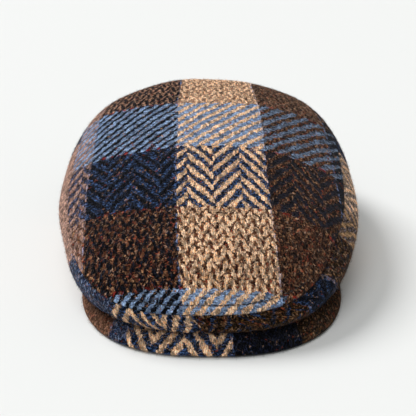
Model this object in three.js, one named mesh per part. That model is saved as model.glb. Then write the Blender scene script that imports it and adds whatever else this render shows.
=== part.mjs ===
// A tweed flat cap, resting on its hem and on the front edge of its peak.
//
// Millimetres, +Z up. The peak points to -Y, the wearer's left is +X, and the origin is on the floor, under
// the middle of the cap. The crown is one large top panel and two side panels. Each side panel starts at the
// centre-back join, narrows along the side, and rolls under the top panel's front edge as a thin band, down
// to the peak. The crown is open below, where the head goes in.

import * as THREE from 'three';

// ---------------------------------------------------------------- driving dimensions

const CAP_LENGTH = 286;       // front edge of the peak to the back of the crown
const CROWN_CENTRE = 165;     // where the crown is widest, behind the front edge of the peak
const CLOTH = 2;              // tweed with its backing
const SEAM_GAP = 0.3;         // between two panels that are sewn together
const HEM_GAP = 0.7;          // between the hem and the peak under it
const PEAK_THICKNESS = 4.2;   // card with tweed on both sides
const FRONT_JOIN = -1;        // step around the crown at which the side panels join in front

const COLOURS = { top: 0x6f6257, side: 0x5a4a40, peak: 0x4a4240 };

// The crown's shape, from its crest down to its hem. Each row is one closed ring around the crown.
// front and back are distances behind the peak's front edge, side is half the ring's width, and the three
// heights are the ring's at the front, the sides and the back. corner squares the front of the ring's
// outline (2 is an ellipse). drift is how far the ring's front half leans to -X per millimetre forwards.
const RINGS = [
  { name: 'crest', front: 165, side: 0, back: 165, frontHeight: 87.2, sideHeight: 87.2, backHeight: 87.2, corner: 2.0, drift: 0.025 },
  { name: 'inner', front: 128, side: 34, back: 200, frontHeight: 79.7, sideHeight: 85.4, backHeight: 92.0, corner: 2.2, drift: 0.025 },
  { name: 'middle', front: 92, side: 60, back: 226, frontHeight: 67.8, sideHeight: 80.8, backHeight: 94.9, corner: 2.4, drift: 0.025 },
  { name: 'outer', front: 60, side: 79.5, back: 245, frontHeight: 55.6, sideHeight: 75.5, backHeight: 95.2, corner: 2.6, drift: 0.025 },
  { name: 'shoulder', front: 35, side: 91.5, back: 262, frontHeight: 43.3, sideHeight: 69.5, backHeight: 88.5, corner: 2.8, drift: 0.025 },
  { name: 'seam', front: 13.2, side: 98.5, back: 276, frontHeight: 22.0, sideHeight: 64.0, backHeight: 73.5, corner: 3.0, drift: 0.025 },
  { name: 'widest', front: 11.6, side: 108, back: 286, frontHeight: 14.6, sideHeight: 46.0, backHeight: 48.0, corner: 2.8, drift: -0.008 },
  { name: 'under', front: 14.0, side: 102, back: 283, frontHeight: 9.0, sideHeight: 17.0, backHeight: 22.0, corner: 2.7, drift: -0.012 },
  { name: 'hem', front: 21.5, side: 90, back: 277, frontHeight: 0, sideHeight: 0, backHeight: 0, corner: 2.6, drift: -0.012 },
];
const BACK_CORNER = 2.55;     // squareness of every ring's back half
const SEAM_RING = RINGS.findIndex((ring) => ring.name === 'seam');

// The peak in plan: an outer edge and an inner edge, each half of an ellipse from horn to horn.
const PEAK_OUTER = { side: 88.5, front: 0, root: 88, corner: 2.5 };
const PEAK_INNER = { side: 79, front: 48, root: 92, corner: 2.1 };
const PEAK_RISE = 12;         // how much higher its inner edge is than its outer edge at the middle
const PEAK_SLOPE_END = 0.55;  // where that slope ends, as a share of the way to the middle of its root
const PEAK_SHIFT = 2.5;       // the peak sits a little to +X of the crown
const HORN_CLEAR = 9;         // from the end of the peak's horns to where the hem starts down to the floor
const HORN_RAMP = 9;          // length over which the hem goes down to the floor

// The peak's section from its inner edge (0) to its outer edge (1): how thick it is, as a share.
const PEAK_SECTION = [
  { across: 0.00, share: 0.80 },
  { across: 0.06, share: 1.00 },
  { across: 0.35, share: 1.00 },
  { across: 0.65, share: 1.00 },
  { across: 0.93, share: 0.97 },
  { across: 0.98, share: 0.85 },
  { across: 1.00, share: 0.55 },
];

// Grid counts
const AROUND = 96;            // steps around the crown
const TOP_ROWS = 11;          // rows from the crest to the seam
const SIDE_ROWS = 7;          // rows from the seam to the hem
const PEAK_STEPS = 40;        // steps from horn to horn
const KEY_DIGITS = 5;         // decimals to which two points count as the same one

// ---------------------------------------------------------------- the crown's surface

const { lerp, smoothstep } = THREE.MathUtils;
const STEP_ANGLE = (2 * Math.PI) / AROUND;
const SEAM_ROW = SEAM_RING / (RINGS.length - 1);
const SMALL = 1e-3;           // step of a row or an angle over which the surface counts as flat

/** Distance from the centre of a squared circle of radius 1 to its edge, at an angle. */
function squared(angle, corner) {
  const across = Math.abs(Math.sin(angle)) ** corner;
  const along = Math.abs(Math.cos(angle)) ** corner;
  return (across + along) ** (-1 / corner);
}

/** The parabola through three points (x, y), at x. */
function throughThree(x, [x0, y0], [x1, y1], [x2, y2]) {
  const a = (y0 * (x - x1) * (x - x2)) / ((x0 - x1) * (x0 - x2));
  const b = (y1 * (x - x0) * (x - x2)) / ((x1 - x0) * (x1 - x2));
  const c = (y2 * (x - x0) * (x - x1)) / ((x2 - x0) * (x2 - x1));
  return a + b + c;
}

/** Height of the peak's upper face at a place, behind its front edge and to the side of its middle. */
function peakTop(x, behind) {
  const across = Math.abs((x - PEAK_SHIFT) / PEAK_OUTER.side) ** PEAK_OUTER.corner;
  const along = Math.max((PEAK_OUTER.root - behind) / PEAK_OUTER.root, 0) ** PEAK_OUTER.corner;
  const inward = Math.max(1 - (across + along) ** (1 / PEAK_OUTER.corner), 0);
  return PEAK_THICKNESS + PEAK_RISE * Math.min(inward / PEAK_SLOPE_END, 1);
}

/** Height of the crown's hem: on the peak at the front, on the floor behind the peak's horns. */
function hemHeight(x, behind) {
  const onPeak = peakTop(x, behind) + HEM_GAP;
  const rampStart = PEAK_INNER.root + HORN_CLEAR;
  return onPeak * (1 - smoothstep(behind, rampStart, rampStart + HORN_RAMP));
}

/** One ring's point at an angle: 0 is straight ahead, 90 degrees is +X, 180 is the back. */
function ringPoint(ring, angle) {
  const ahead = Math.cos(angle) > 0;
  const reach = squared(angle, ahead ? ring.corner : BACK_CORNER);
  const length = ahead ? CROWN_CENTRE - ring.front : ring.back - CROWN_CENTRE;
  const x = ring.side * reach * Math.sin(angle);
  const behind = CROWN_CENTRE - length * reach * Math.cos(angle);
  let z = ring.sideHeight;
  if (ring.name === 'hem') {
    z = hemHeight(x, behind);
  } else if (ring.side > 0) {
    z = throughThree(
      behind,
      [ring.front, ring.frontHeight],
      [CROWN_CENTRE, ring.sideHeight],
      [ring.back, ring.backHeight],
    );
  }
  const lean = ring.drift * Math.min(behind - CROWN_CENTRE, 0);
  return new THREE.Vector3(x + lean, behind - CAP_LENGTH / 2, z);
}

/** The line down the crown's outer surface at an angle, from the crest to the hem. */
function meridian(angle) {
  return new THREE.CatmullRomCurve3(RINGS.map((ring) => ringPoint(ring, angle)), false, 'centripetal');
}

/** The crown's outward normal at a row and an angle. */
function crownNormal(row, angle) {
  const up = meridian(angle).getPoint(Math.max(row - SMALL, 0));
  const down = meridian(angle).getPoint(Math.min(row + SMALL, 1));
  const before = meridian(angle - SMALL).getPoint(row);
  const after = meridian(angle + SMALL).getPoint(row);
  return after.sub(before).cross(up.sub(down)).normalize();
}

// ---------------------------------------------------------------- closed solids from grids

/** A closed solid from an outer and an inner grid of points, as rows of columns. */
function shell(outer, inner, closed) {
  const rows = outer.length;
  const columns = outer[0].length;
  const points = [...outer.flat(), ...inner.flat()];
  const index = (layer, row, column) => layer * rows * columns + row * columns + (column % columns);
  const faces = [];
  const quad = (a, b, c, d) => faces.push(a, b, c, a, c, d);
  const lastColumn = closed ? columns : columns - 1;
  for (let row = 0; row < rows - 1; row += 1) {
    for (let column = 0; column < lastColumn; column += 1) {
      quad(index(0, row, column), index(0, row + 1, column), index(0, row + 1, column + 1), index(0, row, column + 1));
      quad(index(1, row, column), index(1, row, column + 1), index(1, row + 1, column + 1), index(1, row + 1, column));
    }
  }
  for (let column = 0; column < lastColumn; column += 1) {
    const last = rows - 1;
    quad(index(0, 0, column), index(0, 0, column + 1), index(1, 0, column + 1), index(1, 0, column));
    quad(index(0, last, column), index(1, last, column), index(1, last, column + 1), index(0, last, column + 1));
  }
  if (!closed) {
    for (let row = 0; row < rows - 1; row += 1) {
      const last = columns - 1;
      quad(index(0, row, 0), index(1, row, 0), index(1, row + 1, 0), index(0, row + 1, 0));
      quad(index(0, row, last), index(0, row + 1, last), index(1, row + 1, last), index(1, row, last));
    }
  }
  return solidGeometry(points, faces);
}

/** A geometry from points and triangles, without triangles that have no area. */
function solidGeometry(points, faces) {
  const keys = points.map((point) => point.toArray().map((value) => value.toFixed(KEY_DIGITS)).join());
  const kept = [];
  for (let at = 0; at < faces.length; at += 3) {
    const corners = [faces[at], faces[at + 1], faces[at + 2]];
    if (new Set(corners.map((corner) => keys[corner])).size === 3) {
      kept.push(...corners);
    }
  }
  const geometry = new THREE.BufferGeometry();
  geometry.setAttribute('position', new THREE.Float32BufferAttribute(points.flatMap((p) => p.toArray()), 3));
  geometry.setIndex(kept);
  geometry.computeVertexNormals();
  return geometry;
}

/** The row that lies a distance below another one, along the crown's surface. */
function rowBelow(row, distance, angle) {
  const line = meridian(angle);
  const length = line.getPoint(row).distanceTo(line.getPoint(row + SMALL));
  return row + (distance * SMALL) / length;
}

/** Turns the hem's cut level where it stands on the floor, so that it has a flat face to rest on. */
function levelCut(normal, point) {
  const level = 1 - smoothstep(point.z, 0, PEAK_THICKNESS / 2);
  normal.z *= 1 - level;
  normal.normalize();
}

/** The wall of the crown at the given angles, between two rows that are functions of the angle. */
function crownWall(topRow, bottomRow, rowCount, angles, closed) {
  const outer = [];
  const inner = [];
  for (let step = 0; step <= rowCount; step += 1) {
    const outside = [];
    const inside = [];
    for (const angle of angles) {
      const row = lerp(topRow(angle), bottomRow(angle), step / rowCount);
      const point = meridian(angle).getPoint(row);
      const normal = row === 0 ? new THREE.Vector3(0, 0, 1) : crownNormal(row, angle);
      if (row === 1) {
        levelCut(normal, point);
      }
      outside.push(point);
      inside.push(point.clone().addScaledVector(normal, -CLOTH));
    }
    outer.push(outside);
    inner.push(inside);
  }
  return shell(outer, inner, closed);
}

function topPanel() {
  const angles = Array.from({ length: AROUND }, (_, step) => step * STEP_ANGLE);
  const seam = (angle) => rowBelow(SEAM_ROW, -SEAM_GAP / 2, angle);
  return crownWall(() => 0, seam, TOP_ROWS, angles, true);
}

/** One side panel, from the front join to the back join. side is 1 for the left one and -1 for the right. */
function sidePanel(side) {
  const backJoin = (side * AROUND) / 2;
  const steps = Math.abs(backJoin - FRONT_JOIN);
  const angles = Array.from({ length: steps + 1 }, (_, step) => (FRONT_JOIN + side * step) * STEP_ANGLE);
  const halfGap = (side * SEAM_GAP) / 2 / RINGS[SEAM_RING].side;
  angles[0] += halfGap;
  angles[steps] -= halfGap;
  if (side < 0) {
    angles.reverse();
  }
  const seam = (angle) => rowBelow(SEAM_ROW, SEAM_GAP / 2, angle);
  return crownWall(seam, () => 1, SIDE_ROWS, angles, false);
}

// ---------------------------------------------------------------- the peak

/** A point of one edge of the peak in plan, from the horn at -X (-90 degrees) to the one at +X (+90). */
function peakEdge(edge, angle) {
  const reach = squared(angle, edge.corner);
  const x = edge.side * reach * Math.sin(angle);
  const behind = edge.root - (edge.root - edge.front) * reach * Math.cos(angle);
  return new THREE.Vector2(x + PEAK_SHIFT, behind);
}

function peak() {
  const upper = [];
  const lower = [];
  for (const { across, share } of PEAK_SECTION) {
    const over = [];
    const under = [];
    for (let step = 0; step <= PEAK_STEPS; step += 1) {
      const angle = lerp(-Math.PI / 2, Math.PI / 2, step / PEAK_STEPS);
      const place = peakEdge(PEAK_INNER, angle).lerp(peakEdge(PEAK_OUTER, angle), across);
      const bottom = peakTop(place.x, place.y) - PEAK_THICKNESS;
      over.push(new THREE.Vector3(place.x, place.y - CAP_LENGTH / 2, bottom + share * PEAK_THICKNESS));
      under.push(new THREE.Vector3(place.x, place.y - CAP_LENGTH / 2, bottom));
    }
    upper.push(over);
    lower.push(under);
  }
  return shell(upper, lower, false);
}

// ---------------------------------------------------------------- the cap

function cloth(name, geometry, colour) {
  const material = new THREE.MeshStandardMaterial({ color: colour, roughness: 0.95, metalness: 0 });
  const mesh = new THREE.Mesh(geometry, material);
  mesh.name = name;
  return mesh;
}

const cap = new THREE.Group();
cap.add(cloth('top_panel', topPanel(), COLOURS.top));
cap.add(cloth('side_panel_left', sidePanel(1), COLOURS.side));
cap.add(cloth('side_panel_right', sidePanel(-1), COLOURS.side));
cap.add(cloth('peak', peak(), COLOURS.peak));

export default cap;
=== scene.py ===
"""A flat cap of check tweed: its cloth, stitches and loose fibres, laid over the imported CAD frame."""

import math
from collections import namedtuple
from functools import partialmethod

import bmesh
import bpy
import numpy as np
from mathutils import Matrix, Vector


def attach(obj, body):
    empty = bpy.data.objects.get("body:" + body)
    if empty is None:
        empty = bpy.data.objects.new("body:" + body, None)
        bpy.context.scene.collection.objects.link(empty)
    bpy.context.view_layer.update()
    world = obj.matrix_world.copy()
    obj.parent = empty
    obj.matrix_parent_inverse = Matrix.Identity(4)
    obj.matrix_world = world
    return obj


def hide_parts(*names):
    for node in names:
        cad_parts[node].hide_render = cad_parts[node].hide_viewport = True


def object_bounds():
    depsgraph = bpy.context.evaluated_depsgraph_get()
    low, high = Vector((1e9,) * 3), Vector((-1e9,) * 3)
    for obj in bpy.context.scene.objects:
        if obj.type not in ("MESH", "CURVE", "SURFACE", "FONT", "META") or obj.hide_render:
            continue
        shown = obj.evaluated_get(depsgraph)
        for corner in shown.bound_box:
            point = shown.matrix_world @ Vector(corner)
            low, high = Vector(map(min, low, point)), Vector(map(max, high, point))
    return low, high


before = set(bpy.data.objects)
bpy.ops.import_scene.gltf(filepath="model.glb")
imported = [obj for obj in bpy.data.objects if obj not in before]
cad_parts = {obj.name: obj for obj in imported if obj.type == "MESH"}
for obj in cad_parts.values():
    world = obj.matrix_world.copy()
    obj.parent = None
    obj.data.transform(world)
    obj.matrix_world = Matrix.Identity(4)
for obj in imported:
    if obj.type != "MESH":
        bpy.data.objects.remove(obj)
cad_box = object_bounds()

# The cap's lengths are in millimetres up to make_piece(), which turns them into metres.
MM = 0.001
TINY = 1e-9  # keeps a length that may be 0 from being divided by
rng = np.random.default_rng(7)

# ---------------- the cap's shape

CROWN_CENTRE = 165.0  # where the crown is widest, behind the peak's front edge
CLOTH = 2.0  # thickness of the tweed with its backing
HEM_GAP = 0.7  # between the crown's hem and the peak under it
FRONT_Y = cad_box[0].y / MM  # the peak's front edge

# The crown from its crest down to its hem, one closed ring a row. front and back are distances behind the
# peak's front edge, side is half the ring's width, and the heights are the ring's at its front, sides and
# back. corner squares the ring's front (2 is an ellipse), and a positive drift leans its front half to -X.
RING_COLUMNS = ("front", "side", "back", "front_height", "side_height", "back_height", "corner", "drift")
RINGS = {
    "crest": (165.0, 0.0, 165.0, 87.2, 87.2, 87.2, 2.0, 0.025),
    "inner": (128.0, 34.0, 200.0, 79.7, 85.4, 92.0, 2.2, 0.025),
    "middle": (92.0, 60.0, 226.0, 67.8, 80.8, 94.9, 2.4, 0.025),
    "outer": (60.0, 79.5, 245.0, 55.6, 75.5, 95.2, 2.6, 0.025),
    "shoulder": (35.0, 91.5, 262.0, 43.3, 69.5, 88.5, 2.8, 0.025),
    "seam": (13.2, 98.5, 276.0, 22.0, 64.0, 73.5, 3.0, 0.025),
    "widest": (11.6, 108.0, 286.0, 14.6, 46.0, 48.0, 2.8, -0.008),
    "under": (14.0, 102.0, 283.0, 9.0, 17.0, 22.0, 2.7, -0.012),
    "hem": (21.5, 90.0, 277.0, 0.0, 0.0, 0.0, 2.6, -0.012),
}
BACK_CORNER = 2.55  # squareness of every ring's back half
LAST_RING = len(RINGS) - 1
SEAM_ROW = list(RINGS).index("seam") / LAST_RING

# The peak in plan: an outer and an inner edge, each half of an ellipse from horn to horn.
PEAK_OUTER = {"side": 88.5, "front": 0.0, "root": 88.0, "corner": 2.5}
PEAK_INNER = {"side": 79.0, "front": 48.0, "root": 92.0, "corner": 2.1}
PEAK_THICKNESS = 4.2
PEAK_RISE = 12.0  # how much higher its inner edge is than its outer edge
PEAK_SLOPE_END = 0.55  # where that slope ends, as a share of the way to the middle of its root
PEAK_SHIFT = 2.5  # the peak sits a little to +X of the crown
HORN_CLEAR = 9.0  # from the peak's horns back to where the hem starts down to the floor
HORN_RAMP = 9.0  # length over which the hem goes down
FRONT_JOIN = math.radians(-3.75)  # where the two side panels meet in front


def smooth_step(value, low, high):
    share = np.clip((value - low) / (high - low), 0.0, 1.0)
    return share * share * (3.0 - 2.0 * share)


def hump(value, middle, width):
    """1 at the middle, falling off smoothly on both sides."""
    return np.exp(-(((value - middle) / width) ** 2))


def unit(vectors):
    return vectors / np.maximum(np.linalg.norm(vectors, axis=-1, keepdims=True), TINY)


def squared(angle, corner):
    """Distance from the centre of a squared circle of radius 1 to its edge."""
    return (np.abs(np.sin(angle)) ** corner + np.abs(np.cos(angle)) ** corner) ** (-1.0 / corner)


def through_three(x, known_x, known_y):
    """The parabola through three points, at x."""
    total = 0.0
    for i in range(3):
        j, k = (n for n in range(3) if n != i)
        share = (x - known_x[j]) * (x - known_x[k])
        total = total + known_y[i] * share / ((known_x[i] - known_x[j]) * (known_x[i] - known_x[k]))
    return total


def peak_top(x, behind):
    """Height of the peak's upper face."""
    corner = PEAK_OUTER["corner"]
    across = np.abs((x - PEAK_SHIFT) / PEAK_OUTER["side"]) ** corner
    along = np.maximum((PEAK_OUTER["root"] - behind) / PEAK_OUTER["root"], 0.0) ** corner
    inward = np.maximum(1.0 - (across + along) ** (1.0 / corner), 0.0)
    return PEAK_THICKNESS + PEAK_RISE * np.minimum(inward / PEAK_SLOPE_END, 1.0)


def ring_points(name, angle):
    """One ring's points: angle 0 is straight ahead, 90 degrees is +X, 180 is the back."""
    ring = dict(zip(RING_COLUMNS, RINGS[name]))
    ahead = np.cos(angle) > 0
    reach = np.where(ahead, squared(angle, ring["corner"]), squared(angle, BACK_CORNER))
    length = np.where(ahead, CROWN_CENTRE - ring["front"], ring["back"] - CROWN_CENTRE)
    x = ring["side"] * reach * np.sin(angle)
    behind = CROWN_CENTRE - length * reach * np.cos(angle)
    if name == "hem":
        # It lies on the peak in front, and on the floor behind the peak's horns.
        ramp_start = PEAK_INNER["root"] + HORN_CLEAR
        z = (peak_top(x, behind) + HEM_GAP) * (1.0 - smooth_step(behind, ramp_start, ramp_start + HORN_RAMP))
    elif ring["side"] == 0:
        z = np.full_like(x, ring["side_height"])
    else:
        places = (ring["front"], CROWN_CENTRE, ring["back"])
        z = through_three(behind, places, (ring["front_height"], ring["side_height"], ring["back_height"]))
    lean = ring["drift"] * np.minimum(behind - CROWN_CENTRE, 0.0)
    return np.stack([x + lean, behind + FRONT_Y, z], axis=-1)


def crown(rows, angles):
    """Points of the crown's outer surface. Rows go from 0 at the crest to 1 at the hem. The line down each
    angle is a centripetal Catmull-Rom curve through the rings."""
    rows, angles = np.broadcast_arrays(np.asarray(rows, float), np.asarray(angles, float))
    rings = np.stack([ring_points(name, angles) for name in RINGS])
    before = 2 * rings[:1] - rings[1:2]
    after = 2 * rings[-1:] - rings[-2:-1]
    rings = np.concatenate([before, rings, after])
    at = np.clip(rows, 0.0, 1.0) * LAST_RING
    segment = np.minimum(at.astype(int), LAST_RING - 1)
    share = (at - segment)[..., None]
    p0, p1, p2, p3 = (np.take_along_axis(rings, (segment + n)[None, ..., None], axis=0)[0] for n in range(4))
    span_before, span, span_after = (
        np.sqrt(np.maximum(np.linalg.norm(step, axis=-1, keepdims=True), TINY))
        for step in (p1 - p0, p2 - p1, p3 - p2)
    )
    start = ((p1 - p0) / span_before - (p2 - p0) / (span_before + span) + (p2 - p1) / span) * span
    end = ((p2 - p1) / span - (p3 - p1) / (span + span_after) + (p3 - p2) / span_after) * span
    curve = p1 + start * share + (3 * (p2 - p1) - 2 * start - end) * share**2
    return curve + (2 * (p1 - p2) + start + end) * share**3


def crown_normals(rows, angles):
    """The crown's outward normals."""
    small = 1e-3
    up = crown(np.maximum(rows - small, 0.0), angles)
    down = crown(np.minimum(rows + small, 1.0), angles)
    turned = crown(rows, angles + small) - crown(rows, angles - small)
    normal = np.cross(turned, up - down)
    at_crest = np.linalg.norm(normal, axis=-1, keepdims=True) <= TINY
    straight_up = np.array([0.0, 0.0, 1.0])
    return np.where(at_crest, straight_up, unit(normal))


def crown_grid(rows, angles):
    """Rows and angles as grids, and the crown's points there."""
    row_grid, angle_grid = np.meshgrid(rows, angles, indexing="ij")
    return row_grid, angle_grid, crown(row_grid, angle_grid)


def running_length(points, axis):
    """Distance walked along one axis of a grid of points, from its start."""
    steps = np.linalg.norm(np.diff(points, axis=axis), axis=-1)
    start = np.zeros_like(np.take(steps, [0], axis=axis))
    return np.concatenate([start, np.cumsum(steps, axis=axis)], axis=axis)


# ---------------- the tweed's charts

SQUARE = 61.7  # one square of the check

# Each yarn: its colour, the colour of the other wool spun into it (both sRGB), and its share of flecks. Most
# are dyes alone; a few also carry painted sheen, painted shade or painted rim light, as noted.
YARNS = {
    "cream": ((240, 206, 174), (208, 150, 98), 0.06),
    "ink": ((6, 6, 7), (31, 35, 48), 0.06),
    "chestnut": ((22, 14, 10), (108, 70, 48), 0.42),
    "tan": ((174, 138, 122), (112, 94, 98), 0.24),
    "sky": ((148, 172, 205), (62, 82, 124), 0.05),
    "navy": ((13, 18, 30), (68, 95, 142), 0.06),
    "slate": ((36, 46, 72), (116, 130, 158), 0.20),
    "umber": ((110, 66, 46), (12, 8, 6), 0.56),
    # Umber made lighter and paler: painted sheen, the veil that light from behind lays over the crown's back
    # row.
    "umber_with_painted_sheen": ((186, 144, 118), (128, 92, 74), 0.35),
    "bark": ((8, 6, 4), (88, 60, 28), 0.42),
    # Ink made darker still: painted shade, used where the crown shades the peak and on the side away from the
    # light.
    "ink_in_painted_shade": ((4, 4, 5), (28, 34, 54), 0.05),
    "moss": ((146, 104, 82), (50, 30, 23), 0.55),
    "sand": ((190, 152, 110), (142, 110, 82), 0.08),
    # Lighter and pinker than the tan-brown cloth there: partly painted rim light on the side that faces the
    # light.
    "rose_with_painted_rim_light": ((204, 162, 142), (124, 102, 102), 0.22),
}
LINE_COLOURS = {"rust": (150, 46, 36), "ice": (128, 142, 184)}
FLECKS = ((142, 64, 44), (184, 140, 102), (8, 7, 7), (152, 124, 106), (136, 94, 66), (16, 18, 30), (7, 6, 6),
          (116, 80, 60), (6, 5, 6))

# How the yarns cross. The zigzag starts at start, turns every half, and rises by slope. repeat is the height
# of one light and dark stripe, cover the warp's share of it, taper how much the stripes thin towards a turn,
# and broken how far they step at each turn, as a share of the repeat. tight is 1 where a warp stripe's own
# tightness shortens the repeat.
WEAVE_COLUMNS = ("start", "half", "slope", "repeat", "cover", "taper", "broken", "tight")
WEAVE_ROWS = {
    "twill": (-300.0, 600.0, 1.05, 10.6, 0.46, 0.0, 0.0, 1.0),
    "wide_twill": (-300.0, 600.0, 1.1, 9.6, 0.5, 0.0, 0.0, 1.0),
    "herringbone": (0.0, 18.4, 1.25, 11.7, 0.5, 0.2, 0.5, 0.0),
    "dashes": (0.0, 4.8, 1.8, 10.0, 0.86, 0.9, 0.3, 0.0),
    "chevron": (0.0, 20.0, 1.8, 16.4, 0.48, 0.1, 0.0, 0.0),
    "band": (0.0, 18.4, 2.2, 16.0, 0.46, 0.1, 0.0, 0.0),
}
WEAVES = {name: dict(zip(WEAVE_COLUMNS, row)) for name, row in WEAVE_ROWS.items()}
# A ramp holds values from 0 to 1, so each of these is kept there as a share of the value here.
WEAVE_RANGE = dict(zip(WEAVE_COLUMNS, (-400.0, 800.0, 4.0, 30.0, 1.0, 1.0, 1.0, 1.0)))

SIDE_REST = 225.0  # from the front join round a side to where the photo shows no more of it
SIDE_BACK = -400.0  # u near the back join of the right side

# A stripe runs from its own start to the next one's. Some warp stripes take more of the face than their weave
# says (with 1 they hide the weft), lie tighter in a twill, or have wool felted over the weft's floats.
Warp = namedtuple("Warp", "start yarn face tight felted", defaults=(0.0, 0.0, 0.0))
Weft = namedtuple("Weft", "start yarn weave")

# Each panel's chart: warp stripes from low to high u, weft stripes from low to high v, and the u at which the
# zigzags start.
CHARTS = {
    "top": {
        "turn": -4.6,
        "warp": [
            Warp(-2.5 * SQUARE, "tan", tight=0.2, felted=0.06),
            Warp(-1.5 * SQUARE, "ink", tight=0.2),
            Warp(-0.5 * SQUARE, "cream"),
            Warp(0.5 * SQUARE, "chestnut", face=0.02, felted=0.6),
            Warp(82.0, "ink", face=0.2, felted=0.6),
        ],
        "weft": [
            Weft(-4 * SQUARE, "sky", "wide_twill"),
            Weft(-3 * SQUARE, "umber", "dashes"),
            Weft(-2 * SQUARE, "navy", "herringbone"),
            Weft(-1 * SQUARE, "sky", "twill"),
            # This row's umber weft is lightened as painted sheen.
            Weft(0 * SQUARE, "umber_with_painted_sheen", "dashes"),
            Weft(1 * SQUARE, "navy", "herringbone"),
            Weft(2 * SQUARE, "sky", "twill"),
        ],
    },
    "side_left": {
        "turn": 5.1,
        "warp": [
            Warp(-10.0, "cream"),
            Warp(0.5, "bark", face=0.3, felted=0.2),
            # Painted shade: darker ink on this side, which faces away from the light.
            Warp(67.0, "ink_in_painted_shade", felted=0.2),
            Warp(95.0, "bark", face=0.4, felted=0.5),
            Warp(132.0, "sand", felted=0.22),
            Warp(160.0, "cream", felted=0.25),
            Warp(SIDE_REST, "ink"),
            Warp(SIDE_REST + SQUARE, "chestnut", face=0.06, felted=0.45),
            Warp(SIDE_REST + 2 * SQUARE, "cream"),
        ],
        "weft": [Weft(-90.0, "umber", "dashes"), Weft(-30.0, "navy", "herringbone")],
    },
    "side_right": {
        "turn": -19.8,
        "warp": [
            Warp(SIDE_BACK, "cream"),
            Warp(SIDE_BACK + SQUARE, "chestnut", face=0.06, felted=0.45),
            Warp(SIDE_BACK + 2 * SQUARE, "ink"),
            # Painted rim light: this yarn is lighter and pinker than the tan-brown cloth.
            Warp(-SIDE_REST, "rose_with_painted_rim_light", face=0.16, felted=0.6),
            Warp(-101.0, "slate", face=0.4),
            Warp(-53.0, "cream"),
        ],
        "weft": [Weft(-90.0, "umber", "dashes"), Weft(-30.0, "navy", "band")],
    },
    "peak": {
        "turn": 2.9,
        "warp": [
            Warp(-160.0, "moss", face=0.6, felted=0.4),
            Warp(-69.0, "slate", face=0.3),
            Warp(-57.0, "cream"),
            # Painted shade of the crown over the peak's +X part: darker ink, and ink and bark covering more
            # of the weft than the weave alone.
            Warp(12.4, "ink_in_painted_shade", face=0.5, felted=0.4),
            Warp(57.5, "bark", face=0.8, felted=0.5),
        ],
        "weft": [Weft(-60.0, "navy", "chevron"), Weft(40.0, "umber", "dashes")],
    },
}


def stripe_at(stripes, place):
    """Index of the stripe at each place."""
    starts = np.array([stripe.start for stripe in stripes])
    return np.clip(np.searchsorted(starts, place, side="right") - 1, 0, len(starts) - 1)


def stripe_weave(chart, v):
    """The weave of the weft stripe at each v, as a dictionary of arrays."""
    at = stripe_at(chart["weft"], v)
    weaves = [WEAVES[stripe.weave] for stripe in chart["weft"]]
    return {key: np.array([weave[key] for weave in weaves])[at] for key in WEAVE_COLUMNS}


def rib_height(chart, u, v):
    """1 on the ribs of the warp floats, 0 between them."""
    weave = stripe_weave(chart, v)
    walked = u - chart["turn"] - weave["start"]
    zigzag = weave["half"] - np.abs(walked % (2 * weave["half"]) - weave["half"])
    turns = np.floor(walked / weave["half"]) % 2
    tight = np.array([stripe.tight for stripe in chart["warp"]])[stripe_at(chart["warp"], u)]
    repeat = weave["repeat"] * (1.0 - tight * weave["tight"])
    phase = (v - weave["slope"] * zigzag) / repeat + turns * weave["broken"]
    return 0.5 - 0.5 * np.cos(2 * np.pi * phase)


# ---------------- meshes

RIB = 0.3  # how far the ribs stand proud
EDGE_ROUND = 1.8  # width over which a panel's edge turns in at a seam
EDGE_DROP = 1.2  # how far it turns in
SWELL = 0.3  # height of the cloth's slow swelling
WELD = 1e-7  # corners nearer than this many metres are one


def swell(points):
    """Slow, uneven swelling of soft cloth, as waves that cross and don't repeat together."""
    x, y = points[..., 0], points[..., 1]
    wave = np.sin(x / 17.0 + 0.6) * np.sin(y / 23.0 + 1.1)
    wave = wave + 0.7 * np.sin((x + y) / 31.0) + 0.5 * np.sin((x - 0.6 * y) / 12.0 + 2.0)
    return SWELL * wave


def edge_turn(distance):
    """How far the cloth's face turns in at that distance from its edge."""
    near = np.clip(1.0 - distance / EDGE_ROUND, 0.0, 1.0)
    return EDGE_DROP * (1.0 - np.sqrt(1.0 - near**2))


def grid_faces(rows, columns, ring_rows=False):
    """Faces of a grid of points. Its rows are closed rings, or else its columns, with a face at each end."""
    row = np.arange(rows - 1 if ring_rows else rows)[:, None]
    column = np.arange(columns if ring_rows else columns - 1)[None, :]
    below, beside = (row + 1) % rows, (column + 1) % columns
    places = ((row, column), (below, column), (below, beside), (row, beside))
    corners = np.broadcast_arrays(*(down * columns + across for down, across in places))
    faces = np.stack(corners, axis=-1).reshape(-1, 4).tolist()
    if not ring_rows:
        end = np.arange(0, rows * columns, columns)
        faces += [end.tolist(), (end + columns - 1).tolist()]
    return faces


def new_object(name, data):
    made = bpy.data.objects.new(name, data)
    bpy.context.scene.collection.objects.link(made)
    return made


def make_piece(name, points, faces, cloth, material, replaced=None):
    """A mesh piece in metres, with its cloth coordinates, riding on the cap."""
    mesh = bpy.data.meshes.new(name)
    mesh.from_pydata((points.reshape(-1, 3) * MM).tolist(), [], faces)
    attribute = mesh.attributes.new("cloth", "FLOAT_VECTOR", "POINT")
    attribute.data.foreach_set("vector", cloth.astype(np.float32).ravel())
    mesh.polygons.foreach_set("use_smooth", np.ones(len(mesh.polygons), dtype=bool))
    mesh.materials.append(material)
    shape = bmesh.new()
    shape.from_mesh(mesh)
    bmesh.ops.remove_doubles(shape, verts=shape.verts, dist=WELD)
    bmesh.ops.recalc_face_normals(shape, faces=shape.faces)
    shape.to_mesh(mesh)
    shape.free()
    piece = new_object(name, mesh)
    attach(piece, "root")
    if replaced:
        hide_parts(replaced)
    return piece


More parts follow.
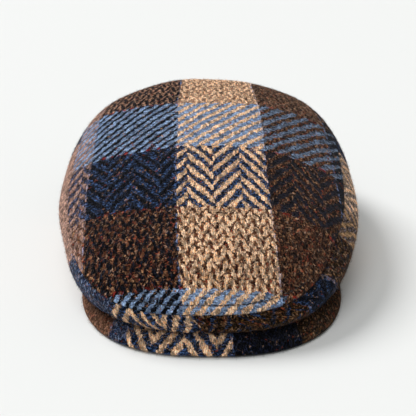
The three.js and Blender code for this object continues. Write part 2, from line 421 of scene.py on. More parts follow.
def cloth_places(u, v):
    """Places on the cloth as vectors, for the attribute that the tweed's material reads."""
    return np.stack([u, v, np.zeros_like(u)], axis=-1)


# ---------------- shader nodes


class Graph:
    """Makes the nodes of a material or world and joins them. A value may be a number, a colour or another
    node's output."""

    def __init__(self, owner):
        owner.use_nodes = True
        self.owner = owner
        self.tree = owner.node_tree
        self.tree.nodes.clear()

    def node(self, kind, inputs, **settings):
        made = self.tree.nodes.new(kind)
        for key, value in settings.items():
            setattr(made, key, value)
        for key, value in inputs.items():
            if isinstance(value, bpy.types.NodeSocket):
                self.tree.links.new(value, made.inputs[key])
            else:
                made.inputs[key].default_value = value
        return made

    def math(self, operation, *values):
        return self.node("ShaderNodeMath", dict(enumerate(values)), operation=operation).outputs[0]

    add = partialmethod(math, "ADD")
    subtract = partialmethod(math, "SUBTRACT")
    multiply = partialmethod(math, "MULTIPLY")
    divide = partialmethod(math, "DIVIDE")
    floor = partialmethod(math, "FLOOR")

    def spread(self, value, width):
        """A value from 0 to 1 made into one from -width to width."""
        return self.multiply(self.subtract(value, 0.5), 2.0 * width)

    def colours(self, amount, first, second, blend="MIX"):
        """The first colour with that amount of the second mixed in."""
        inputs = {0: amount, 6: first, 7: second}
        return self.node("ShaderNodeMix", inputs, data_type="RGBA", blend_type=blend).outputs[2]

    def values(self, amount, first, second):
        """The first number with that amount of the second mixed in."""
        return self.node("ShaderNodeMix", {0: amount, 2: first, 3: second}, data_type="FLOAT").outputs[0]

    def remap(self, value, low, high, to_low=0.0, to_high=1.0, **settings):
        """A value from low to high, clamped and made into one from to_low to to_high."""
        inputs = {0: value, 1: low, 2: high, 3: to_low, 4: to_high}
        return self.node("ShaderNodeMapRange", inputs, **settings).outputs[0]

    def vector(self, x, y, z=0.0):
        return self.node("ShaderNodeCombineXYZ", {0: x, 1: y, 2: z}).outputs[0]

    def parts(self, colour):
        return self.node("ShaderNodeSeparateColor", {0: colour}).outputs

    def noise(self, vector, scale, detail=2.0):
        return self.node("ShaderNodeTexNoise", {"Vector": vector, "Scale": scale, "Detail": detail}).outputs

    def random(self, x, y):
        """A random value for each pair of whole numbers."""
        place = self.vector(x, y)
        return self.node("ShaderNodeTexWhiteNoise", {"Vector": place}, noise_dimensions="2D").outputs["Value"]

    def steps(self, value, stops):
        """A stepped ramp: each stop is (position, RGBA), which runs on to the next stop."""
        made = self.node("ShaderNodeValToRGB", {0: value})
        made.color_ramp.interpolation = "CONSTANT"
        elements = made.color_ramp.elements
        while len(elements) < len(stops):
            elements.new(1.0)
        for element, (position, colour) in zip(elements, stops):
            element.position = position
            element.color = colour
        return made.outputs

    def finish(self, inputs):
        """Makes the surface of a Principled shader with these inputs, and gives the material."""
        surface = self.node("ShaderNodeBsdfPrincipled", inputs)
        self.node("ShaderNodeOutputMaterial", {0: surface.outputs[0]})
        return self.owner


def linear(colour, alpha=1.0):
    """An sRGB colour as linear RGBA."""
    shares = np.array(colour) / 255.0
    values = np.where(shares <= 0.04045, shares / 12.92, ((shares + 0.055) / 1.055) ** 2.4)
    return (*values.tolist(), alpha)


class Stripes:
    """The stripes of a chart along one direction, as stepped ramps over a position in millimetres."""

    def __init__(self, graph, position, stripes):
        self.graph = graph
        self.stripes = stripes
        self.low = stripes[0].start
        self.length = stripes[-1].start + SQUARE - self.low
        self.share = graph.divide(graph.subtract(position, self.low), self.length)

    def place(self, position):
        return (position - self.low) / self.length

    def ramp(self, colour_of):
        stops = [(self.place(stripe.start), colour_of(stripe)) for stripe in self.stripes]
        return self.graph.steps(self.share, stops)

    def yarns(self):
        """The yarn's colour, its share of flecks, and the colour of the wool spun into it."""
        main = self.ramp(lambda stripe: linear(YARNS[stripe.yarn][0], YARNS[stripe.yarn][2]))
        heather = self.ramp(lambda stripe: linear(YARNS[stripe.yarn][1]))
        return main[0], main[1], heather[0]

    def laid(self):
        """Three values of the warp stripes: face, tight and felted."""
        return self.graph.parts(self.ramp(lambda stripe: (stripe.face, stripe.tight, stripe.felted, 1.0))[0])

    def lines(self, width):
        """1 on a line of that width at each start of a stripe but the first."""
        on, off = (1.0, 1.0, 1.0, 1.0), (0.0, 0.0, 0.0, 1.0)
        stops = [(0.0, off)]
        for stripe in self.stripes[1:]:
            stops.append((self.place(stripe.start - width / 2), on))
            stops.append((self.place(stripe.start + width / 2), off))
        return self.graph.steps(self.share, stops)[0]

    def weave(self):
        """The weave of each weft stripe, as a dictionary of values."""
        found = {}
        for keys in (("start", "half", "slope", "cover"), ("repeat", "taper", "broken", "tight")):
            colour, alpha = self.ramp(
                lambda stripe: tuple(WEAVES[stripe.weave][key] / WEAVE_RANGE[key] for key in keys))
            for key, share in zip(keys, (*self.graph.parts(colour)[:3], alpha)):
                found[key] = self.graph.multiply(share, WEAVE_RANGE[key])
        return found


YARN_PITCH = 1.2  # between neighbouring yarns, both ways
FLOAT_LENGTH = 3.0  # length over which one yarn keeps its shade
WARP_SEED = 3.0
WEFT_SEED = 41.0

FLOAT_STAGGER = 7.0  # how far apart the yarns' first floats may start, in floats
FIBRE_SCALE = (1.25, 0.5)  # of the noise in a yarn's wool, across and along it
# How the yarns wander: a noise's scale, and how far it moves them across the warp and across the weft.
WANDERS = ((0.16, 1.6, 2.4), (0.9, 0.9, 1.2))
EVEN_YARN = 0.45  # how far the weave changes from yarn to yarn, and not within one
UNEVEN_FLOATS = 0.05  # how far each warp yarn's floats are out of line, as a share of the repeat
RAGGED_FLOATS = 0.3  # how ragged the floats' ends are, as a share of half the repeat
SOFT_EDGE = 0.03  # how soft those ends are, in the same measure

ICE_LINE = 1.1  # width of the pale blue line between two warp stripes
RUST_LINE = 1.6  # width of the dotted rust line between two weft stripes
RUST_DOT = 2.6  # length of its dots
RUST_GAPS = 0.78  # share of that line without dots
RUST_DYE = 0.8  # how much of the dots' colour is rust

FLECK_SIZE = (0.9, 1.05)  # across the warp and across the weft
FLECK_PULL = 3.0  # how far the flecks' cells are pulled out of shape
FLECK_LET_THROUGH = 0.3  # share of the weft's flecks that the warp shows too
FLECK_DYE = (0.9, 0.65)  # how much of a fleck's colour is its own, on the weft and on the warp

# Ranges of noise, of chance or of a yarn's height, and what each is turned into.
OTHER_WOOL = (0.52, 0.57, 0.0, 0.9)
ICE_SHOWS = (0.3, 0.6, 0.0, 0.6)
FELTED_OVER = (0.4, 0.6, 0.25, 1.6)
# Painted shade across each round yarn: darker at its sides, lighter on its back.
ROUND_PAINTED_SHADE = (0.0, 0.8, 0.4, 1.15)
OWN_SHADE = (0.0, 1.0, 0.35, 1.7)
FIBRE_SHADE = (0.35, 0.65, 0.55, 1.5)
CLUMP_SHADE = (0.35, 0.65, 0.65, 1.45)
ROUGHNESS = (0.3, 0.7, 0.85, 1.0)
LIGHTEST_SHADE = 1.8


class YarnSet:
    """Parallel yarns: which one is at a place, how far up its round back that is, its shade and fibres."""

    def __init__(self, graph, across, along, seed):
        place = graph.divide(across, YARN_PITCH)
        self.number = graph.floor(place)
        self.middle = graph.multiply(graph.add(self.number, 0.5), YARN_PITCH)
        self.random = graph.random(self.number, seed)
        self.round = graph.math("SINE", graph.multiply(graph.math("FRACT", place), math.pi))
        length = graph.add(graph.divide(along, FLOAT_LENGTH), graph.multiply(self.random, FLOAT_STAGGER))
        self.shade = graph.random(self.number, graph.add(graph.floor(length), seed))
        fibres = (graph.multiply(way, scale) for way, scale in zip((across, along), FIBRE_SCALE))
        self.fibres = graph.noise(graph.vector(*fibres, seed), 1.0, 3.0)["Fac"]


def wandering(graph, cloth):
    """u and v of the cloth, moved so that its yarns wander as in any hand-woven cloth, and a quick noise."""
    moved = graph.node("ShaderNodeSeparateXYZ", {0: cloth}).outputs[:2]
    for scale, *ways in WANDERS:
        noise = graph.parts(graph.noise(cloth, scale)["Color"])
        moved = [graph.add(moved[axis], graph.spread(noise[axis], ways[axis])) for axis in (0, 1)]
    return *moved, noise[2]


def warp_cover(graph, weave, turn, warp, laid, u, v):
    """1 where a warp yarn floats on top, 0 where the weft does."""
    across = graph.values(1.0 - EVEN_YARN, warp.middle, u)
    walked = graph.subtract(graph.subtract(across, turn), weave["start"])
    zigzag = graph.math("PINGPONG", walked, weave["half"])
    turns = graph.math("MODULO", graph.floor(graph.divide(walked, weave["half"])), 2.0)
    repeat = graph.multiply(weave["repeat"], graph.subtract(1.0, graph.multiply(weave["tight"], laid[1])))
    phase = graph.divide(graph.subtract(v, graph.multiply(zigzag, weave["slope"])), repeat)
    phase = graph.add(phase, graph.multiply(graph.math("ABSOLUTE", turns), weave["broken"]))
    phase = graph.add(phase, graph.spread(warp.random, UNEVEN_FLOATS))
    off_middle = graph.math("ABSOLUTE", graph.spread(graph.math("FRACT", phase), 1.0))
    to_turn = graph.math("ABSOLUTE", graph.spread(graph.divide(zigzag, weave["half"]), 1.0))
    thinned = graph.multiply(graph.math("POWER", to_turn, 2.0), weave["taper"])
    cover = graph.add(graph.multiply(weave["cover"], graph.subtract(1.0, thinned)), laid[0])
    ragged = graph.noise(graph.vector(u, v), 0.9)["Fac"]
    edge = graph.add(graph.subtract(cover, off_middle), graph.spread(ragged, RAGGED_FLOATS))
    return graph.remap(edge, -SOFT_EDGE, SOFT_EDGE)


class Wool:
    """A set of yarns as coloured, with the painted light some yarns carry: its main colour, that with the
    other wool spun in, and its share of flecks.
    """

    def __init__(self, graph, yarns, stripes):
        self.main, self.flecks, heather = stripes.yarns()
        self.mixed = graph.colours(graph.remap(yarns.fibres, *OTHER_WOOL), self.main, heather)


def add_flecks(graph, colour, on_top, warp_wool, weft_wool, u, v, pull):
    """Small flecks of other wools."""
    pulled = graph.multiply(pull, FLECK_PULL)
    cell_u = graph.floor(graph.add(graph.divide(u, FLECK_SIZE[0]), pulled))
    cell_v = graph.floor(graph.add(graph.divide(v, FLECK_SIZE[1]), pulled))
    on_warp = graph.math("MAXIMUM", warp_wool.flecks, graph.multiply(weft_wool.flecks, FLECK_LET_THROUGH))
    share = graph.values(on_top, weft_wool.flecks, on_warp)
    fleck = graph.math("LESS_THAN", graph.random(cell_u, cell_v), share)
    palette = [(index / len(FLECKS), linear(dye)) for index, dye in enumerate(FLECKS)]
    fleck_colour = graph.steps(graph.random(cell_v, cell_u), palette)[0]
    return graph.colours(graph.multiply(fleck, graph.values(on_top, *FLECK_DYE)), colour, fleck_colour)


def tweed(name, chart):
    """The material of one panel: two sets of yarns crossing as its chart says, of mixed wools, with painted
    shade on each round yarn.
    """
    graph = Graph(bpy.data.materials.new(name))
    cloth = graph.node("ShaderNodeAttribute", {}, attribute_name="cloth").outputs["Vector"]
    u, v, quick = wandering(graph, cloth)
    warp = YarnSet(graph, u, v, WARP_SEED)
    weft = YarnSet(graph, v, u, WEFT_SEED)
    warp_stripes = Stripes(graph, warp.middle, chart["warp"])
    weft_stripes = Stripes(graph, v, chart["weft"])
    laid = warp_stripes.laid()
    on_top = warp_cover(graph, weft_stripes.weave(), chart["turn"], warp, laid, u, v)

    # Colours of the two sets of yarns. Felted wool of the warp hides some of the weft.
    weft_wool = Wool(graph, weft, weft_stripes)
    warp_wool = Wool(graph, warp, warp_stripes)
    line = graph.multiply(warp_stripes.lines(ICE_LINE), graph.remap(weft.shade, *ICE_SHOWS))
    warp_colour = graph.colours(line, warp_wool.mixed, linear(LINE_COLOURS["ice"]))
    felted = graph.multiply(laid[2], graph.remap(weft.fibres, *FELTED_OVER))
    weft_colour = graph.colours(felted, weft_wool.mixed, warp_wool.main)
    colour = graph.colours(on_top, weft_colour, warp_colour)
    dots = graph.random(graph.floor(graph.divide(u, RUST_DOT)), 1.0)
    dotted = graph.multiply(weft_stripes.lines(RUST_LINE), graph.math("GREATER_THAN", dots, RUST_GAPS))
    colour = graph.colours(graph.multiply(dotted, RUST_DYE), colour, linear(LINE_COLOURS["rust"]))
    colour = add_flecks(graph, colour, on_top, warp_wool, weft_wool, u, v, quick)

    # Painted shade of each round yarn: darker beside it, lighter on its back. Each yarn is also lighter or
    # darker than its neighbours, and its wool is uneven.
    roundness = graph.values(on_top, weft.round, warp.round)
    own = graph.values(on_top, weft.shade, warp.shade)
    fibres = graph.values(on_top, weft.fibres, warp.fibres)
    clumps = graph.noise(graph.vector(u, v, 5.0), 0.6, 1.0)["Fac"]
    shade = graph.remap(roundness, *ROUND_PAINTED_SHADE)
    for value, shades in ((own, OWN_SHADE), (fibres, FIBRE_SHADE), (clumps, CLUMP_SHADE)):
        shade = graph.multiply(shade, graph.remap(value, *shades))
    shade = graph.math("MINIMUM", shade, LIGHTEST_SHADE)
    colour = graph.colours(1.0, colour, graph.vector(shade, shade, shade), "MULTIPLY")

    place = graph.node("ShaderNodeTexCoord", {}).outputs["Object"]
    relief = graph.multiply(roundness, 0.6)
    for height, weight in ((fibres, 0.7), (graph.noise(place, 2600.0)["Fac"], 0.4), (on_top, 0.9)):
        relief = graph.add(relief, graph.multiply(height, weight))
    bump = graph.node("ShaderNodeBump", {"Strength": 1.0, "Distance": 0.0008, "Height": relief})
    return graph.finish({
        "Base Color": colour,
        "Roughness": graph.remap(fibres, *ROUGHNESS),
        "Normal": bump.outputs[0],
        "Specular IOR Level": 0.05,
        "Sheen Weight": 0.1,
        "Sheen Roughness": 0.2,
        "Sheen Tint": (1.0, 0.94, 0.9, 1.0),
    })


def thread(name, colour, partner):
    """Twisted sewing thread of two colours."""
    graph = Graph(bpy.data.materials.new(name))
    place = graph.node("ShaderNodeTexCoord", {}).outputs["Object"]
    twist = graph.noise(place, 2200.0)["Fac"]
    mixed = graph.colours(graph.remap(twist, 0.35, 0.65), linear(colour), linear(partner))
    bump = graph.node("ShaderNodeBump", {"Strength": 0.5, "Distance": 0.0002, "Height": twist})
    return graph.finish({"Base Color": mixed, "Roughness": 0.6, "Normal": bump.outputs[0]})


# ---------------- the crown's panels

# Grid steps between neighbouring rings, from the crest to the seam and from the seam to the hem.
TOP_STEPS = (22, 20, 20, 20, 34)
SIDE_STEPS = (34, 28, 24)
TOP_AROUND = 620
SIDE_AROUND = 460
INNER_SHARE = 8  # the inside has one row for each of these on the outside

RIBS_FADE_TOP = 8.0  # from the seam to where the ribs have their full height
RIBS_FADE_SIDE = 6.0

# Tucks at the crown's two lower front corners: depth, how far behind the peak's front edge, half its length.
TUCK_PLUS_X = (3.6, 66.0, 36.0)
TUCK_MINUS_X = (2.9, 84.0, 26.0)
TUCK_HEIGHTS = (36.0, 58.0)  # between these it fades out upwards
TUCK_OUTWARD = (40.0, 85.0)  # between these distances from the middle it grows
# Dips at the back, on both sides of the middle: depth, distance from the middle, half their width.
DIP = (2.2, 58.0, 24.0)
DIP_BACKWARD = (55.0, 100.0)
DIP_HEIGHTS = (70.0, 86.0)

CHECK_ZERO = 197.0  # distance behind the peak's front edge at which the top chart's v is 0
CHECK_MIDDLE = 8.0  # how far to +X the middle of the cream stripe is
CHECK_LEAN = 6.5  # how much further to +X it is at the front lip
LEAN_START = 140.0  # distance behind the peak's front edge at which it starts to lean
LEAN_LENGTH = 127.0
BACK_LEAN = 2.0  # how much less far to +X it is at the back
BACK_LEAN_PLACES = (150.0, 230.0)
BACK_NARROWING = 0.1
BACK_NARROWING_PLACES = (190.0, 240.0)
DROOP = 11.0  # how far the check's rows droop at the +X side
DROOP_OUTWARD = (30.0, 105.0)
DROOP_PLACES = (20.0, 70.0)

# The top panel's front edge is folded under and stitched down. Angles between which that grows and fades:
STITCHED_GROWS = (-0.5, -0.2)
STITCHED_FADES = (0.55, 0.8)
TOPSTITCH = 6.0  # from the seam to the topstitching
FOLD_FULLER = 0.5  # how much fuller it is between the stitches and its edge
FOLD_GROWS = (0.0, 1.5)  # from its edge
FOLD_FADES = (4.5, 6.5)
STITCH_SINK = 0.6  # how far the stitches pull it in
STITCH_SINK_WIDTH = 0.9

# Creases where the band is pulled round the front corners: an angle, and a share of the full depth.
CREASES = ((-0.62, 1.0), (0.72, 0.7))
CREASE_DEPTH = 1.6
CREASE_WIDTH = 0.05  # radians
CREASE_RING = 6.4  # where it is deepest, counted in rings from the crest
CREASE_RINGS = 0.45  # half its length
HEM_FLAT_FROM = 0.93  # row from which the cloth's relief fades out towards the hem


def spaced_rows(first, steps):
    """Row values that go through whole rings in the given numbers of steps."""
    rows = []
    for ring, count in enumerate(steps):
        rows.extend(first + (ring + np.arange(count) / count) / LAST_RING)
    return np.array(rows + [first + len(steps) / LAST_RING])


def settled(points):
    """The crown as its cloth lies, tucked in at its lower front corners and dipping at the back."""
    x, y, z = points[..., 0], points[..., 1], points[..., 2]
    low = 1.0 - smooth_step(z, *TUCK_HEIGHTS)
    tucks = [depth * hump(y - FRONT_Y, *place) for depth, *place in (TUCK_PLUS_X, TUCK_MINUS_X)]
    tuck = np.where(x > 0, *tucks)
    moved_x = x - np.sign(x) * tuck * low * smooth_step(np.abs(x), *TUCK_OUTWARD)
    dip = DIP[0] * hump(np.abs(x), *DIP[1:]) * smooth_step(y, *DIP_BACKWARD)
    return np.stack([moved_x, y, z - dip * smooth_step(z, *DIP_HEIGHTS)], axis=-1)


def make_panel(name, rows, angles, lift, u, v, material, replaced, ring_rows=False):
    """A panel of the crown, down its outside and back up its inside, which is woven as the outside is. Gives
    the piece, and its outer face as points and cloth places."""
    row_grid, angle_grid, base = crown_grid(rows, angles)
    normals = crown_normals(row_grid, angle_grid)
    outer = settled(base) + normals * lift[..., None]
    inner = (settled(base) - normals * CLOTH)[::-1]
    kept = np.unique(np.append(np.arange(0, len(rows), INNER_SHARE), len(rows) - 1))
    points = np.concatenate([outer, inner[kept]])
    places = cloth_places(u, v)
    woven = np.concatenate([places, places[::-1][kept]])
    faces = grid_faces(*points.shape[:2], ring_rows)
    piece = make_piece(name, points, faces, woven, material, replaced)
    return piece, (outer, places)


def midline_distance(behind):
    """Length along the crown's middle from the top chart's zero. It grows towards the back."""
    rows = np.linspace(0.0, SEAM_ROW, 400)
    front = crown(rows, np.zeros_like(rows))[::-1]
    back = crown(rows, np.full_like(rows, np.pi))
    line = np.concatenate([front, back[1:]])
    places = line[:, 1] - FRONT_Y
    length = running_length(line, 0)
    return np.interp(behind, places, length) - np.interp(CHECK_ZERO, places, length)


def top_chart_place(points):
    """u and v of the top panel's cloth. The check leans a little, and its rows droop at the +X side."""
    x, behind = points[..., 0], points[..., 1] - FRONT_Y
    forward = np.maximum(LEAN_START - behind, 0.0) / LEAN_LENGTH
    middle = CHECK_MIDDLE + CHECK_LEAN * forward**2 - BACK_LEAN * smooth_step(behind, *BACK_LEAN_PLACES)
    narrowed = 1.0 + BACK_NARROWING * smooth_step(behind, *BACK_NARROWING_PLACES)
    droop = DROOP * smooth_step(x, *DROOP_OUTWARD) * smooth_step(behind, *DROOP_PLACES)
    return (x - middle) * narrowed, midline_distance(behind + droop)


def build_top_panel(material):
    rows = spaced_rows(0.0, TOP_STEPS)
    angles = np.linspace(-np.pi, np.pi, TOP_AROUND, endpoint=False)
    _, angle_grid, base = crown_grid(rows, angles)
    length = running_length(base, 0)
    from_edge = length[-1] - length
    u, v = top_chart_place(base)
    lift = RIB * (rib_height(CHARTS["top"], u, v) - 0.5) + swell(base)
    lift = lift * smooth_step(from_edge, 0.0, RIBS_FADE_TOP)
    stitched = smooth_step(angle_grid, *STITCHED_GROWS) * (1.0 - smooth_step(angle_grid, *STITCHED_FADES))
    fuller = smooth_step(from_edge, *FOLD_GROWS) * (1.0 - smooth_step(from_edge, *FOLD_FADES))
    lift = lift + stitched * FOLD_FULLER * fuller
    lift = lift - stitched * STITCH_SINK * hump(from_edge, TOPSTITCH, STITCH_SINK_WIDTH)
    lift = lift - edge_turn(from_edge)
    return make_panel(
        "top_cloth", rows, angles, lift, u, v, material, "top_panel", ring_rows=True)


def build_side_panel(hand, side, material):
    """One side panel: side is 1 for the wearer's left (+X), and -1 for the right."""
    chart = CHARTS["side_" + hand]
    angles = np.linspace(FRONT_JOIN, side * np.pi, SIDE_AROUND)
    rows = spaced_rows(SEAM_ROW, SIDE_STEPS)
    row_grid, angle_grid, base = crown_grid(rows, angles)
    below = running_length(base, 0)
    along = running_length(base, 1)[:1] + np.zeros_like(below)
    edge = np.minimum(np.minimum(below, along), along[:, -1:] - along)
    u, v = side * along, -below
    lift = (RIB * (rib_height(chart, u, v) - 0.5) + swell(base)) * smooth_step(edge, 0.0, RIBS_FADE_SIDE)
    creased = sum(share * hump(angle_grid, middle, CREASE_WIDTH) for middle, share in CREASES)
    lift = lift - CREASE_DEPTH * creased * hump(row_grid * LAST_RING, CREASE_RING, CREASE_RINGS)
    lift = lift - edge_turn(edge)
    lift = lift * (1.0 - smooth_step(row_grid, HEM_FLAT_FROM, 1.0))
    return make_panel(
        "side_cloth_" + hand, rows, angles, lift, u, v, material, "side_panel_" + hand)


# ---------------- the peak

PEAK_AROUND = 360
PEAK_TOP_ROWS = 46
PEAK_UNDER_ROWS = 10
PEAK_EDGE_ROWS = 10
PEAK_ROUND = 3.0  # width over which the peak's edge rounds over


def edge_line(edge, angle):
    """One edge of the peak in plan: x, and the distance behind its front."""
    reach = squared(angle, edge["corner"])
    x = edge["side"] * reach * np.sin(angle) + PEAK_SHIFT
    behind = edge["root"] - (edge["root"] - edge["front"]) * reach * np.cos(angle)
    return np.stack([x, behind], axis=-1)


def peak_section(width):
    """Shares of the peak's width and thickness round its section: out over the top and back underneath."""
    flat = 1.0 - PEAK_ROUND / width
    section = [(flat * step / PEAK_TOP_ROWS, 1.0) for step in range(PEAK_TOP_ROWS)]
    for step in range(PEAK_EDGE_ROWS + 1):
        turn = math.pi * step / PEAK_EDGE_ROWS
        section.append((flat + math.sin(turn) * PEAK_ROUND / width, 0.5 + 0.5 * math.cos(turn)))
    for step in range(1, PEAK_UNDER_ROWS + 1):
        section.append((flat * (1.0 - step / PEAK_UNDER_ROWS), 0.0))
    return section


def build_peak(material):
    """A thin pad with a rounded front edge, and its shown face as points and cloth places."""
    chart = CHARTS["peak"]
    angles = np.linspace(-np.pi / 2, np.pi / 2, PEAK_AROUND)
    outer_edge, inner_edge = edge_line(PEAK_OUTER, angles), edge_line(PEAK_INNER, angles)
    width = np.linalg.norm(outer_edge - inner_edge, axis=-1)
    rows = []
    for share, height in peak_section(width):
        place = inner_edge + (outer_edge - inner_edge) * share[:, None]
        bottom = peak_top(place[:, 0], place[:, 1]) - PEAK_THICKNESS
        rows.append(np.stack([place[:, 0], place[:, 1] + FRONT_Y, bottom + height * PEAK_THICKNESS], axis=-1))
    grid = np.stack(rows)
    along = running_length(outer_edge, 0)
    along = along - np.interp(0.0, angles, along)
    down = running_length(grid, 0)
    v = down[PEAK_TOP_ROWS + PEAK_EDGE_ROWS // 2] - down
    u = along + np.zeros_like(v)
    normal = unit(np.cross(np.gradient(grid, axis=1), -np.gradient(grid, axis=0)))
    lift = RIB * (rib_height(chart, u, v) - 0.5) * smooth_step(v, 0.0, PEAK_ROUND)
    grid = grid + normal * lift[..., None]
    places = cloth_places(u, v)
    faces = grid_faces(*grid.shape[:2])
    piece = make_piece("peak_cloth", grid, faces, places, material, "peak")
    shown = slice(0, PEAK_TOP_ROWS + PEAK_EDGE_ROWS)
    return piece, (grid[shown], places[shown])


# ---------------- stitches and loose fibres

STITCH_SIDES = 6
STITCH_RINGS = 5
STITCH_UNEVEN = 0.15  # how far a stitch is out of place, as a share of the gap to the next
STITCH_END = 0.08  # share of a half turn that is cut off its rounded ends

FIBRE_HALF_WIDTH = 0.045
FIBRE_LENGTHS = (1.5, 4.2)
FIBRE_RISES = (0.3, 1.1)
FIBRE_RISE_POWER = 1.5  # keeps most of them low
FIBRE_BEND = 0.35  # to one side, as a share of its length
FIBRE_ROOT = 0.15  # how deep it starts in the cloth
FIBRE_SHARES = (0.0, 0.33, 0.67, 1.0)  # places along it that have corners
PANEL_CENTRE = np.array([1.0, 1.0, 0.3])  # shares of a panel's mean place that a point inside it has
FLOOR_CLEARANCE = 0.05  # least height of a fibre over the floor


def build_stitches(name, path, normals, length, gap, radius, material):
    """A row of short stitches along a path, each a little rounded tube half sunk in the cloth."""
    distance = running_length(path, 0)
    starts = np.arange(0.0, distance[-1] - length, length + gap)
    starts = starts + rng.uniform(-STITCH_UNEVEN, STITCH_UNEVEN, len(starts)) * gap
    share = np.linspace(0.0, 1.0, STITCH_RINGS)
    at = starts[:, None] + share[None, :] * length
    centre = np.stack([np.interp(at, distance, path[:, axis]) for axis in range(3)], axis=-1)
    out = unit(np.stack([np.interp(at, distance, normals[:, axis]) for axis in range(3)], axis=-1))
    across = unit(np.cross(unit(np.gradient(centre, axis=1)), out))
    out, across = out[:, :, None, :], across[:, :, None, :]
    bulge = np.sin(np.pi * (STITCH_END + (1.0 - 2 * STITCH_END) * share))[None, :, None, None]
    turn = (2 * np.pi * np.arange(STITCH_SIDES) / STITCH_SIDES)[:, None]
    height = radius * (0.9 * bulge - 0.5)
    round_part = np.cos(turn) * out + np.sin(turn) * across
    points = centre[:, :, None, :] + out * height + radius * bulge * round_part
    corners = STITCH_RINGS * STITCH_SIDES
    tube = grid_faces(STITCH_RINGS, STITCH_SIDES, ring_rows=True)
    tube += [list(range(STITCH_SIDES)), list(range(corners - STITCH_SIDES, corners))]
    faces = [[stitch * corners + corner for corner in face] for stitch in range(len(starts)) for face in tube]
    return make_piece(name, points, faces, np.zeros((points.size // 3, 3)), material)


def build_fibres(name, surface, places, count, material, slot, closed=False):
    """Loose wool fibres over a face, each a thin curved ribbon in the colour of the yarn under it."""
    if closed:
        surface = np.concatenate([surface, surface[:, :1]], axis=1)
        places = np.concatenate([places, places[:, :1]], axis=1)
    down, along = np.gradient(surface, axis=0), np.gradient(surface, axis=1)
    normals = np.cross(down, along)
    area = np.linalg.norm(normals, axis=-1)[:-1, :-1].ravel()
    outward = unit(surface - surface.reshape(-1, 3).mean(axis=0) * PANEL_CENTRE)
    normals = unit(normals) * np.sign(np.sum(normals * outward, axis=-1, keepdims=True))
    row, column = np.divmod(rng.choice(area.size, count, p=area / area.sum()), surface.shape[1] - 1)
    down, along, out = down[row, column], along[row, column], normals[row, column]
    root = surface[row, column] + down * rng.random((count, 1)) + along * rng.random((count, 1))
    turn = rng.uniform(0.0, 2 * np.pi, (count, 1))
    yarn = places[row, column] + rng.normal(0.0, 1.0, (count, 3)) * np.array([1.0, 1.0, 0.0])
    lying = np.cos(turn) * unit(along) + np.sin(turn) * np.cross(out, unit(along))
    sideways = np.cross(out, lying)
    length = rng.uniform(*FIBRE_LENGTHS, (count, 1))
    rise = rng.uniform(*FIBRE_RISES, (count, 1)) ** FIBRE_RISE_POWER
    bend = rng.uniform(-FIBRE_BEND, FIBRE_BEND, (count, 1))
    points = []
    for share in FIBRE_SHARES:
        # An arc that ends a little above the cloth.
        height = rise * 4 * share * (1.15 - share) - FIBRE_ROOT
        spine = root + lying * length * share + sideways * bend * length * share**2 + out * height
        half_width = FIBRE_HALF_WIDTH * (1.0 - 0.5 * share) * sideways
        points.extend([spine - half_width, spine + half_width])
    points = np.stack(points, axis=1)
    points[..., 2] = np.maximum(points[..., 2], FLOOR_CLEARANCE)
    corners = np.array([(0, 1, 3, 2), (2, 3, 5, 4), (4, 5, 7, 6)])
    faces = (np.arange(count)[:, None, None] * points.shape[1] + corners).reshape(-1, 4).tolist()
    return make_piece(name, points, faces, np.repeat(yarn, points.shape[1], axis=0), material)


def seam_path(distance, first_angle, last_angle):
    """Points and normals on the top panel at that distance from its seam, between two angles."""
    angles = np.linspace(first_angle, last_angle, 300)
    rows = np.linspace(SEAM_ROW - 0.12, SEAM_ROW, 120)
    length = running_length(crown_grid(rows, angles)[2], 0)
    from_edge = length[-1:] - length
    found = np.array([np.interp(-distance, -from_edge[:, n], rows) for n in range(len(angles))])
    return crown(found, angles), crown_normals(found, angles)


# ---------------- making the cap

tweeds = {panel: tweed(f"tweed_{panel}", chart) for panel, chart in CHARTS.items()}
top, top_face = build_top_panel(tweeds["top"])
left, left_face = build_side_panel("left", 1, tweeds["side_left"])
right, right_face = build_side_panel("right", -1, tweeds["side_right"])
peak, peak_face = build_peak(tweeds["peak"])

dark_thread = thread("dark_thread", (12, 11, 14), (34, 28, 30))
pale_thread = thread("pale_thread", (176, 138, 104), (120, 88, 66))
path, normals = seam_path(TOPSTITCH, math.radians(-22), math.radians(40))
topstitch = build_stitches(
    "topstitching", path, normals, length=3.0, gap=0.5, radius=0.4, material=dark_thread)
path, normals = seam_path(0.9, math.radians(-14), math.radians(26))
edge_stitch = build_stitches(
    "edge_stitching", path - 0.5 * normals, normals, length=2.2, gap=1.6, radius=0.3, material=pale_thread)

top_fibres = build_fibres("top_fibres", *top_face, 24000, tweeds["top"], "tweed_top", closed=True)
left_fibres = build_fibres("side_fibres_left", *left_face, 11000, tweeds["side_left"], "tweed_side")
right_fibres = build_fibres("side_fibres_right", *right_face, 11000, tweeds["side_right"], "tweed_side")
build_fibres("peak_fibres", *peak_face, 6000, tweeds["peak"], "tweed_peak")

# ---------------- floor, light and camera


def plain_material(name, colour, roughness):
    return Graph(bpy.data.materials.new(name)).finish({"Base Color": colour, "Roughness": roughness})


FLOOR_HALF = 60.0  # half its width, so that it ends far off in the low views


def add_floor():
    mesh = bpy.data.meshes.new("floor")
    corners = [(x * FLOOR_HALF, y * FLOOR_HALF, 0.0) for x, y in ((-1, -1), (1, -1), (1, 1), (-1, 1))]
    mesh.from_pydata(corners, [], [(0, 1, 2, 3)])
    mesh.materials.append(plain_material("floor", (0.75, 0.76, 0.755, 1.0), 0.9))
    floor = new_object("floor", mesh)


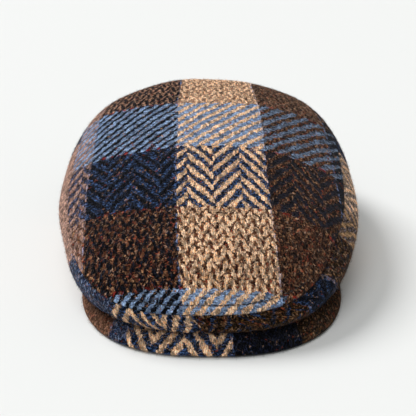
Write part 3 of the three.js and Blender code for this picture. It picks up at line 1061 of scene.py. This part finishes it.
def add_softbox(name, position, size, strength, colour):
    """A softbox so far away that it lights the whole floor evenly. position is where a near one of that size
    would stand, seen from the cap."""
    data = bpy.data.lights.new(name, "SUN")
    data.angle = 2 * math.atan(size / 2 / Vector(position).length)
    data.energy = strength
    data.color = colour
    light = new_object(name, data)
    light.location = position
    light.rotation_euler = (-Vector(position)).to_track_quat("-Z", "Y").to_euler()


def add_world(colour, strength, horizon_strength, horizon_height):
    """A pale room: lightest at the horizon, so that the floor ends softly in the low views."""
    world = bpy.data.worlds.new("studio")
    graph = Graph(world)
    direction = graph.node("ShaderNodeTexCoord", {}).outputs["Generated"]
    height = graph.node("ShaderNodeSeparateXYZ", {0: direction}).outputs["Z"]
    fade = (0.0, horizon_height, horizon_strength, strength)
    faded = graph.remap(height, *fade, interpolation_type="SMOOTHSTEP")
    background = graph.node("ShaderNodeBackground", {"Color": colour, "Strength": faded})
    graph.node("ShaderNodeOutputWorld", {0: background.outputs[0]})
    bpy.context.scene.world = world


CAMERA_BEFORE = 0.3886  # from the peak's front edge to the camera, level
CAMERA_HEIGHT = 0.2998
CAMERA_TILT = math.radians(27.0)  # below the horizon
CAMERA_SENSOR = 36.0  # millimetres, like the lens
CAMERA_LENS = CAMERA_SENSOR / 0.52  # the picture shows a width of 0.52 times its distance


def add_camera():
    data = bpy.data.cameras.new("camera")
    data.lens = CAMERA_LENS
    data.sensor_width = CAMERA_SENSOR
    data.clip_start = 0.01
    data.clip_end = 50.0
    camera = new_object("camera", data)
    camera.location = (0.0, cad_box[0].y - CAMERA_BEFORE, CAMERA_HEIGHT)
    camera.rotation_euler = (math.pi / 2 - CAMERA_TILT, 0.0, 0.0)
    bpy.context.scene.camera = camera


add_floor()
add_world((0.9, 0.92, 0.91, 1.0), strength=0.32, horizon_strength=0.97, horizon_height=0.28)
add_softbox("key", (-1.9, 1.7, 2.45), size=1.5, strength=2.68, colour=(1.0, 0.995, 0.99))
add_softbox("front", (-0.4, -0.5, 2.15), size=1.9, strength=1.08, colour=(1.0, 0.99, 0.98))
add_camera()

scene = bpy.context.scene
scene.view_settings.view_transform = "Standard"
scene.view_settings.look = "None"
